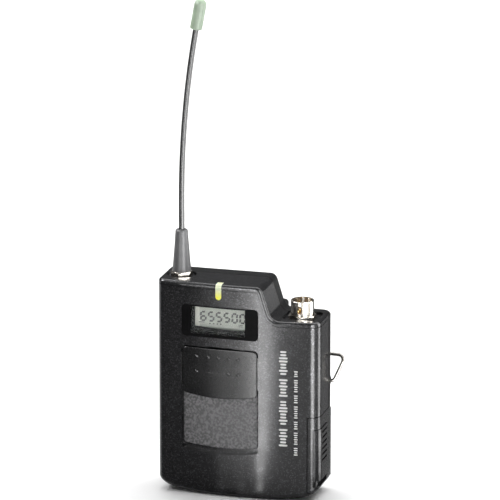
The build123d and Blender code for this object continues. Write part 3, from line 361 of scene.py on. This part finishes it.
def display_film():
    """Grey-green reflective display glass with a painted highlight down its left edge."""
    low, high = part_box("lcd_glass")
    f = Finish("display_glass_film")
    fine = f.noise(0.00025, 2.0)
    cloud = f.noise(0.004, 2.0)
    film = colour_mix(f, f.span(cloud, 0.3, 0.7), (0.42, 0.46, 0.39), (0.50, 0.54, 0.46))
    film = colour_mix(f, f.span(fine, 0.3, 0.7, 0.0, 0.35), film, (0.36, 0.395, 0.33))
    # Painted highlight: a pale band down the left edge stands in for light on the bevel.
    painted_bevel_highlight = f.span(f.axis("X"), low.x + 3.4 * MM, low.x + 4.0 * MM, 1.0, 0.0)
    f.set("Base Color", colour_mix(f, painted_bevel_highlight, film, (0.74, 0.76, 0.66)))
    f.set("Roughness", f.span(fine, 0.3, 0.7, 0.28, 0.4))
    return f.material


def light_guide():
    """Translucent guide that glows from whitish green at the top to yellow at its foot."""
    low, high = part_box("indicator_light_pipe")
    f = Finish("light_guide_acrylic", Subsurface_Weight=0.25, Subsurface_Scale=0.001)
    rise = f.span(f.axis("Z"), low.z + 1.0 * MM, low.z + 4.2 * MM)
    cloud = f.noise(0.0012, 2.0)
    tone = colour_mix(f, rise, (0.86, 0.83, 0.02), (0.62, 0.66, 0.46))
    tone = colour_mix(f, f.span(cloud, 0.35, 0.7, 0.0, 0.25), tone, (0.75, 0.80, 0.30))
    f.set("Base Color", tone)
    f.set("Emission Color", tone)
    f.set("Emission Strength", 0.28)
    f.set("Roughness", f.span(cloud, 0.3, 0.7, 0.16, 0.3))
    return f.material


def circuit_board():
    """Green solder mask over faint copper tracks and ground areas, with tinned dots."""
    f = Finish("board_solder_mask")
    tracks = f.add("ShaderNodeTexBrick", offset=0.5, squash=1.0)
    turned = f.stretched((1, 1, 1), (math.pi / 2, 0, 0))
    f.feed(tracks.inputs["Vector"], turned)
    tracks.inputs["Scale"].default_value = 1.0 / (9.0 * MM)
    tracks.inputs["Mortar Size"].default_value = 0.03
    f.feed(tracks.inputs["Color1"], (0.010, 0.085, 0.035))
    f.feed(tracks.inputs["Color2"], (0.014, 0.115, 0.050))
    f.feed(tracks.inputs["Mortar"], (0.030, 0.190, 0.080))
    dots = f.add("ShaderNodeTexVoronoi")
    f.feed(dots.inputs["Vector"], f.place)
    dots.inputs["Scale"].default_value = 1.0 / (3.2 * MM)
    dot = f.span(dots.outputs["Distance"], 0.10, 0.13, 1.0, 0.0)
    f.set("Base Color", colour_mix(f, dot, tracks.outputs["Color"], (0.55, 0.52, 0.44)))
    f.set("Metallic", dot)
    f.set("Roughness", f.span(f.noise(0.0006, 2.0), 0.3, 0.7, 0.28, 0.4))
    f.bump((dot, 0.00003, 0.6), (tracks.outputs["Fac"], 0.00002, -0.4))
    return f.material


def cell_sleeve():
    """Shrink sleeve of the round cells: dark body and a copper-coloured end band."""
    low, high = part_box("battery_cell_lower")
    f = Finish("cell_shrink_sleeve")
    x = f.axis("X")
    middle = (low.x + high.x) / 2
    band = f.span(x, middle + 9.0 * MM, middle + 9.4 * MM)
    first_end = f.span(x, low.x + 1.6 * MM, low.x + 1.7 * MM, 1.0, 0.0)
    steel = f.sum(first_end, f.span(x, high.x - 1.7 * MM, high.x - 1.6 * MM))
    cloud = f.noise(0.003, 2.0)
    sleeve = colour_mix(f, band, (0.012, 0.013, 0.016), (0.50, 0.24, 0.09))
    f.set("Base Color", colour_mix(f, steel, sleeve, (0.55, 0.55, 0.53)))
    f.set("Metallic", f.sum(steel, f.sum(band, 0.6, "MULTIPLY"), "MAXIMUM"))
    f.set("Roughness", f.span(cloud, 0.3, 0.7, 0.2, 0.32))
    f.bump((cloud, 0.00002, 0.2))
    return f.material


def label_film():
    """Silver-grey label film with a fine brushed grain."""
    f = Finish("rear_label_film", Metallic=0.35)
    brushed = f.noise(0.0003, 2.0, f.stretched((1, 1, 0.06)))
    film = colour_mix(f, f.span(brushed, 0.3, 0.7), (0.20, 0.20, 0.205), (0.30, 0.30, 0.31))
    f.set("Base Color", film)
    f.set("Roughness", f.span(brushed, 0.3, 0.7, 0.34, 0.5))
    f.bump((brushed, 0.000003, 0.4))
    return f.material


def soft_rubber(name, dark, light, rough=(0.5, 0.65)):
    """Matt moulded rubber with a slight bloom."""
    f = Finish(name, Sheen_Weight=0.05)
    grains = f.noise(0.0006, 3.0)
    cloud = f.noise(0.004, 2.0)
    f.set("Base Color", colour_mix(f, f.span(cloud, 0.3, 0.7), dark, light))
    f.set("Roughness", f.span(grains, 0.3, 0.7, rough[0], rough[1]))
    f.bump((grains, 0.00002, 0.4))
    return f.material


def ink(name, colour, rough=0.5):
    """Screen-printed ink with slightly uneven cover."""
    f = Finish(name)
    cover = f.noise(0.0003, 2.0)
    thin = tuple(0.78 * c for c in colour)
    f.set("Base Color", colour_mix(f, f.span(cover, 0.3, 0.7), thin, colour))
    f.set("Roughness", f.span(cover, 0.3, 0.7, rough - 0.08, rough + 0.08))
    f.bump((cover, 0.000004, 0.4))
    return f.material


FINISHES = {
    "case_grey": speckled_plastic(
        "case_charcoal_fleck", (0.0080, 0.0080, 0.0088), (0.0175, 0.0175, 0.0190),
        (0.066, 0.066, 0.071)
    ),
    "case_black": plain_plastic(
        "case_back_satin", (0.0050, 0.0050, 0.0056), (0.0080, 0.0080, 0.0088), (0.34, 0.44),
        specular=0.14
    ),
    "label_film": label_film(),
    "gloss_black": smooth_gloss(
        "bezel_gloss", (0.0030, 0.0030, 0.0033), (0.0050, 0.0050, 0.0055), (0.40, 0.50),
        specular=0.02
    ),
    "clear_pane": clear_pane(),
    "display_glass": display_film(),
    "inner_black": plain_plastic(
        "inner_mouldings", (0.006, 0.006, 0.0065), (0.011, 0.011, 0.012), (0.5, 0.62),
        specular=0.12
    ),
    "soft_strip": soft_rubber("contact_strip_rubber", (0.16, 0.16, 0.165), (0.24, 0.24, 0.245)),
    "inner_white": plain_plastic(
        "white_mouldings", (0.60, 0.60, 0.57), (0.72, 0.72, 0.69), (0.4, 0.5)
    ),
    "light_pipe": light_guide(),
    "cover_dark": speckled_plastic(
        "cover_satin", (0.0055, 0.0055, 0.0059), (0.0090, 0.0090, 0.0095), (0.030, 0.030, 0.032),
        grain=0.0005, rough=(0.18, 0.24), relief=0.000006, flakes=(0.88, 1.0)
    ),
    "textured_grey": grained_pad_painted_shade(),
    "button_grey": soft_rubber("button_rubber", (0.10, 0.10, 0.105), (0.14, 0.14, 0.145)),
    "spring_steel": turned_metal("spring_plating", (0.60, 0.59, 0.56), (0.18, 0.3), (1, 1, 4)),
    "board_green": circuit_board(),
    "screw_black": turned_metal("black_zinc", (0.06, 0.06, 0.062), (0.28, 0.42), (1, 1, 1)),
    "tinned_steel": turned_metal("tinned_can", (0.66, 0.66, 0.64), (0.22, 0.36), (6, 1, 1)),
    "capacitor_sleeve": smooth_gloss(
        "capacitor_sleeve_film", (0.010, 0.012, 0.040), (0.016, 0.018, 0.055), (0.2, 0.3)
    ),
    "brass": turned_metal("gilt_brass", (0.78, 0.56, 0.25), (0.14, 0.24), (1, 1, 8)),
    "nickel": turned_metal("bright_nickel", (0.62, 0.585, 0.53), (0.12, 0.20), (1, 1, 8)),
    "sleeve_rubber": soft_rubber(
        "antenna_sleeve_rubber", (0.060, 0.060, 0.064), (0.085, 0.085, 0.090), (0.40, 0.52)
    ),
    "whip_black": smooth_gloss(
        "whip_jacket", (0.0050, 0.0050, 0.0054), (0.0090, 0.0090, 0.0095), (0.14, 0.22), 0.3
    ),
    "tip_green": soft_rubber(
        "tip_soft_vinyl", (0.31, 0.42, 0.285), (0.39, 0.51, 0.36), (0.42, 0.55)
    ),
    "insulator_brown": plain_plastic(
        "insulator_phenolic", (0.13, 0.080, 0.040), (0.20, 0.125, 0.065), (0.4, 0.52)
    ),
    "cell_wrap": cell_sleeve(),
    "nickel_wire": turned_metal("drawn_wire", (0.25, 0.24, 0.225), (0.18, 0.28), (1, 1, 1)),
}

for subpart in frame["record"]["subparts"]:
    node = frame["nodes"][subpart["node"]]
    for slot in node.material_slots:
        slot.material = FINISHES[subpart["material_slot"]]


# ---- printed pieces --------------------------------------------------------------------
INK_THICKNESS = 0.03  # millimetres
SPOT_CORNERS = 20


def grid_faces(rows, columns):
    """Quads of a grid stored row by row whose columns wrap round."""
    r, c = np.meshgrid(np.arange(rows - 1), np.arange(columns), indexing="ij")
    after = (c + 1) % columns
    this, above = r * columns, (r + 1) * columns
    return np.stack([this + c, this + after, above + after, above + c], axis=-1).reshape(-1, 4)


def new_piece(name, points, quads, body, material):
    """Mesh object from arrays of points and quads, riding on a body."""
    mesh = bpy.data.meshes.new(name)
    mesh.vertices.add(len(points))
    mesh.vertices.foreach_set("co", np.ascontiguousarray(points, dtype=np.float32).ravel())
    mesh.loops.add(quads.size)
    mesh.loops.foreach_set("vertex_index", np.ascontiguousarray(quads, dtype=np.int32).ravel())
    mesh.polygons.add(len(quads))
    mesh.polygons.foreach_set("loop_start", np.arange(0, quads.size, 4, dtype=np.int32))
    mesh.polygons.foreach_set("use_smooth", np.ones(len(quads), dtype=bool))
    mesh.update(calc_edges=True)
    mesh.validate()
    mesh.materials.append(material)
    piece = bpy.data.objects.new(name, mesh)
    bpy.context.collection.objects.link(piece)
    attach(piece, body)
    return piece


def ink_spots(spots, surface_y, outward, slant=0.0, squareness=4.0):
    """Points and quads of flat printed spots that lie on a surface.

    Each spot is x, z, half width, half height in millimetres. Its outline is a superellipse,
    |x/a|^n + |z/b|^n = 1, leaned sideways by slant. Rings run from the middle of the face out
    to the rim and back to the middle of the underside, so each spot is a closed thin lens.
    surface_y gives the surface's Y at x and z, and outward is the sign of its free side.
    """
    spots = np.asarray(spots, float)
    turn = np.linspace(0, 2 * math.pi, SPOT_CORNERS, endpoint=False)
    rim_x = np.sign(np.cos(turn)) * np.abs(np.cos(turn)) ** (2 / squareness)
    rim_z = np.sign(np.sin(turn)) * np.abs(np.sin(turn)) ** (2 / squareness)
    ring = np.array([0.02, 0.5, 0.94, 1.0, 1.0, 0.5, 0.02])
    lift = np.array([1.0, 1.0, 1.0, 0.6, -0.6, -1.0, -1.0]) * INK_THICKNESS / 2
    x = spots[:, 2, None, None] * ring[:, None] * rim_x
    z = spots[:, 3, None, None] * ring[:, None] * rim_z
    x = spots[:, 0, None, None] + x + z * math.tan(math.radians(slant))
    z = spots[:, 1, None, None] + z
    y = surface_y(x, z) + outward * (lift[:, None] + INK_THICKNESS / 2)
    points = np.stack([x, np.broadcast_to(y, x.shape), z], axis=-1).reshape(-1, 3) * MM
    one = grid_faces(ring.size, turn.size)
    if outward > 0:
        one = one[:, ::-1]
    step = ring.size * turn.size
    quads = one[None] + (np.arange(len(spots)) * step)[:, None, None]
    return points, quads.reshape(-1, 4)


FRONT_BULGE = 200.0  # radius of the case's front, in millimetres
FRONT_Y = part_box("front_shell")[0].y / MM
WHITE_INK = ink("white_print", (0.80, 0.80, 0.78))
DISPLAY_INK = ink("display_segments", (0.012, 0.015, 0.012), 0.45)
GREY_INK = ink("grey_print", (0.30, 0.30, 0.30))


def bulge_y(x, z):
    """Y of the case's bulging front face: a cylinder of 200 mm radius about an upright axis."""
    return FRONT_Y + FRONT_BULGE - np.sqrt(FRONT_BULGE ** 2 - x * x)


# Seven bars of a digit: x, z, half width, half height as shares of the digit's half size.
BARS = {
    "top": (0, 1, 0.72, 0.0), "middle": (0, 0, 0.72, 0.0), "bottom": (0, -1, 0.72, 0.0),
    "upper_left": (-1, 0.5, 0.0, 0.40), "lower_left": (-1, -0.5, 0.0, 0.40),
    "upper_right": (1, 0.5, 0.0, 0.40), "lower_right": (1, -0.5, 0.0, 0.40),
}
LIT = {
    "0": ("top", "bottom", "upper_left", "lower_left", "upper_right", "lower_right"),
    "5": ("top", "middle", "bottom", "upper_left", "lower_right"),
    "6": ("top", "middle", "bottom", "upper_left", "lower_left", "lower_right"),
}


def display_spots(digits, first_x, pitch, middle_z, half, bar):
    """Bars of a row of seven-bar digits, as spots; bar is half a bar's thickness."""
    spots = []
    for place, digit in enumerate(digits):
        x = first_x + place * pitch
        for name in LIT[digit]:
            bx, bz, wide, tall = BARS[name]
            spots.append((x + bx * half[0], middle_z + bz * half[1],
                          max(wide * half[0], bar), max(tall * half[1], bar)))
    return spots


def flat_y(height):
    """Surface of an upright flat face: the same Y everywhere."""
    return lambda x, z: np.full_like(x, height)


def add_display_print():
    """Digits, a row of four dots and a few short marks, just in front of the display glass."""
    glass = flat_y(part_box("lcd_glass")[0].y / MM)
    digits = display_spots("655500", -14.3, 3.2, 72.9, (0.95, 1.75), 0.38)
    points, quads = ink_spots(digits, glass, -1, 8.0, 6.0)
    new_piece("display_digits", points, quads, "case", DISPLAY_INK)
    marks = [(x, 70.05, 0.30, 0.26) for x in (-11.6, -10.1, -8.6, -7.2)]
    marks += [(-15.0, 70.4, 1.3, 0.14), (0.9, 70.2, 0.9, 0.12), (0.9, 69.6, 0.9, 0.12)]
    points, quads = ink_spots(marks, glass, -1)
    new_piece("display_marks", points, quads, "case", DISPLAY_INK)


def tick_column(x, z_low, z_high, pitch, half_width, half_height, pattern):
    """Ticks stacked up a column; the pattern scales each tick's length, and 0 leaves a gap."""
    count = int((z_high - z_low) / pitch)
    places = z_low + pitch * (np.arange(count) + 0.5)
    lengths = np.resize(np.asarray(pattern, float), count)
    shown = lengths > 0
    return np.stack([np.full(shown.sum(), x), places[shown], half_width * lengths[shown],
                     np.full(shown.sum(), half_height)], axis=1)


def add_front_print():
    """Two upright columns of plain ticks, broad and fine, where the front carries its print."""
    broad = tick_column(19.0, 22.5, 62.3, 1.28, 1.7, 0.40,
                        (1, 0.7, 0.7, 1, 0.7, 1, 0, 0.7, 1, 0.7, 0.7, 1, 1, 0.7, 0.7, 0))
    fine = tick_column(24.0, 19.0, 54.6, 0.9, 0.75, 0.24,
                       (1, 0.8, 1, 1, 0, 1, 0.8, 1, 0.8, 1, 1, 0))
    for name, spots in (("front_print_broad", broad), ("front_print_fine", fine)):
        points, quads = ink_spots(spots, bulge_y, -1)
        new_piece(name, points, quads, "case", WHITE_INK)


def add_label_print():
    """Plain ruled lines and a box on the rear label."""
    label = flat_y(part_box("rear_label")[1].y / MM)
    half_widths = (10.5, 12.0, 8.0, 11.0, 9.0)
    rows = [(0.0, 74.3 - 2.0 * row, half, 0.28) for row, half in enumerate(half_widths)]
    rows += [(-9.0, 62.4, 3.2, 1.6), (6.0, 63.4, 6.2, 0.26), (6.0, 61.6, 6.2, 0.26)]
    points, quads = ink_spots(rows, label, 1, squareness=8.0)
    new_piece("rear_label_print", points, quads, "case", GREY_INK)


def add_panel_print():
    """Level scale round the trimmer and short rules beside the buttons and the switch."""
    panel = flat_y(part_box("control_panel")[0].y / MM)
    turn = np.radians(np.linspace(-135, 135, 7))
    spots = [(3.0 + 2.9 * math.sin(t), 52.0 + 2.9 * math.cos(t), 0.16, 0.16) for t in turn]
    spots += [(-16.0, 45.3, 1.4, 0.14), (-6.0, 45.3, 1.4, 0.14), (-6.0, 58.9, 1.4, 0.14)]
    spots += [(-18.2, 58.4, 0.5, 0.14), (-11.0, 58.4, 0.16, 0.5)]
    points, quads = ink_spots(spots, panel, -1)
    new_piece("control_panel_print", points, quads, "case", WHITE_INK)


add_display_print()
add_front_print()
add_label_print()
add_panel_print()


# ---- floor -----------------------------------------------------------------------------
FLOOR_HALF = 4.0
FLOOR_LINES = 9


def add_floor():
    """Wide pale floor at the height of the base, with a barely visible mottle.

    Its points are a square grid over X and Y at the lowest Z of the transmitter.
    """
    side = np.linspace(-FLOOR_HALF, FLOOR_HALF, FLOOR_LINES)
    x, y = np.meshgrid(side, side, indexing="ij")
    points = np.stack([x, y, np.full_like(x, cad_box[0][2])], axis=-1).reshape(-1, 3)
    r, c = np.meshgrid(np.arange(FLOOR_LINES - 1), np.arange(FLOOR_LINES - 1), indexing="ij")
    first, after = r * FLOOR_LINES + c, (r + 1) * FLOOR_LINES + c
    quads = np.stack([first, after, after + 1, first + 1], axis=-1).reshape(-1, 4)
    mesh = bpy.data.meshes.new("floor")
    mesh.from_pydata(points.tolist(), [], quads.tolist())
    f = Finish("floor_paper", Roughness=0.9)
    f.set("Base Color", colour_mix(f, f.noise(0.3, 2.0), (0.86, 0.86, 0.86), (0.88, 0.88, 0.88)))
    f.set("Specular IOR Level", 0.1)
    mesh.materials.append(f.material)
    floor = bpy.data.objects.new("floor", mesh)
    bpy.context.collection.objects.link(floor)


add_floor()
